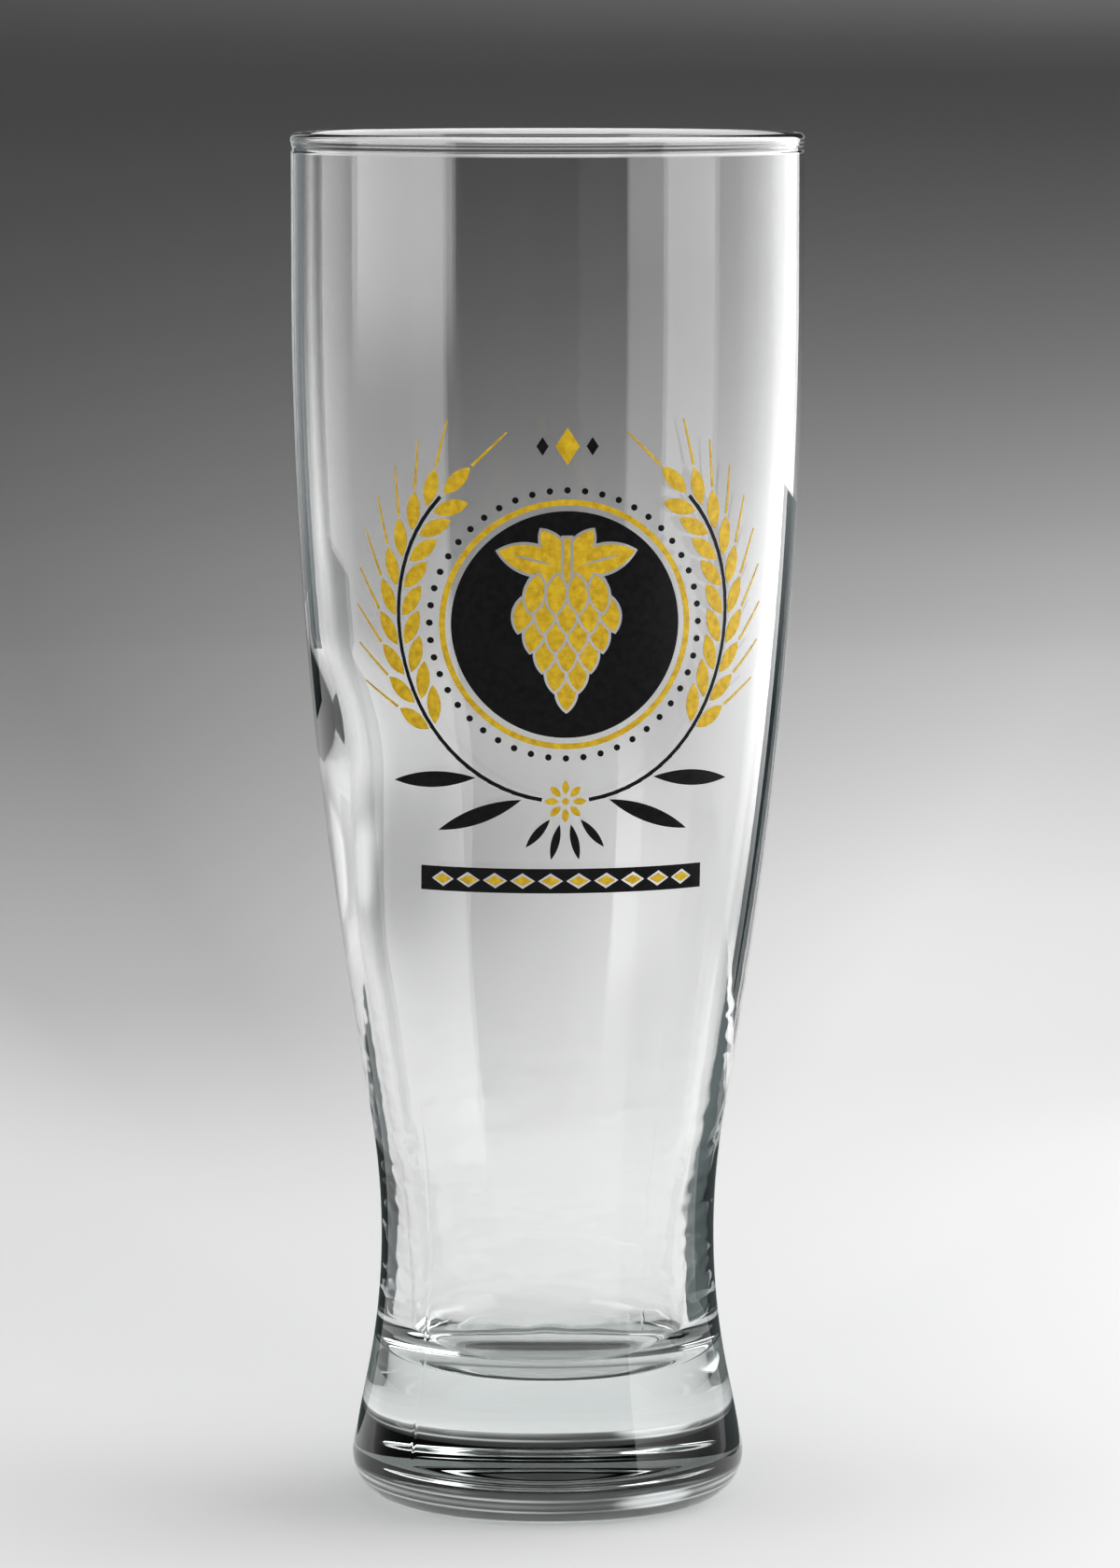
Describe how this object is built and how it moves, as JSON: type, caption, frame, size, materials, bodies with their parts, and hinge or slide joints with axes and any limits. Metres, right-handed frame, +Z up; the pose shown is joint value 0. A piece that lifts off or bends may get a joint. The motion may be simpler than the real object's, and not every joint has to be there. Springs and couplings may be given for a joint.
{
  "type": "pilsner glass",
  "caption": "Tall waisted pilsner glass with a thick clear foot, a beaded rim and a fired hop and barley wreath in black and gold enamel on the front.",
  "frame": {"origin": "centre of the resting face, on the glass's own axis", "axes": "+Z up along the axis of the glass, -Y towards the decorated front, +X to the right of it"},
  "size_m": [0.0822, 0.0822, 0.22],
  "materials": {
    "clear_glass": "fire-polished clear soda-lime glass with a faint green tint in the thick base",
    "black_enamel": "screen-printed and fired vitreous enamel, satin gloss",
    "gold_enamel": "screen-printed and fired vitreous enamel, golden yellow, satin gloss"
  },
  "bodies": {
    "root": {"glass_vessel": "clear_glass", "roundel_field": "black_enamel", "roundel_dots": "black_enamel", "barley_stem_left": "black_enamel", "barley_stem_right": "black_enamel", "barley_blades_left": "black_enamel", "barley_blades_right": "black_enamel", "stalk_ends": "black_enamel", "crown_side_lozenges": "black_enamel", "border_bar": "black_enamel", "roundel_ring": "gold_enamel", "hop_bracts": "gold_enamel", "hop_stalk": "gold_enamel", "hop_leaf_left": "gold_enamel", "hop_leaf_right": "gold_enamel", "barley_grains_left": "gold_enamel", "barley_grains_right": "gold_enamel", "barley_awns_left": "gold_enamel", "barley_awns_right": "gold_enamel", "tie_rosette": "gold_enamel", "crown_lozenge": "gold_enamel", "border_lozenges": "gold_enamel"}
  },
  "joints": []
}
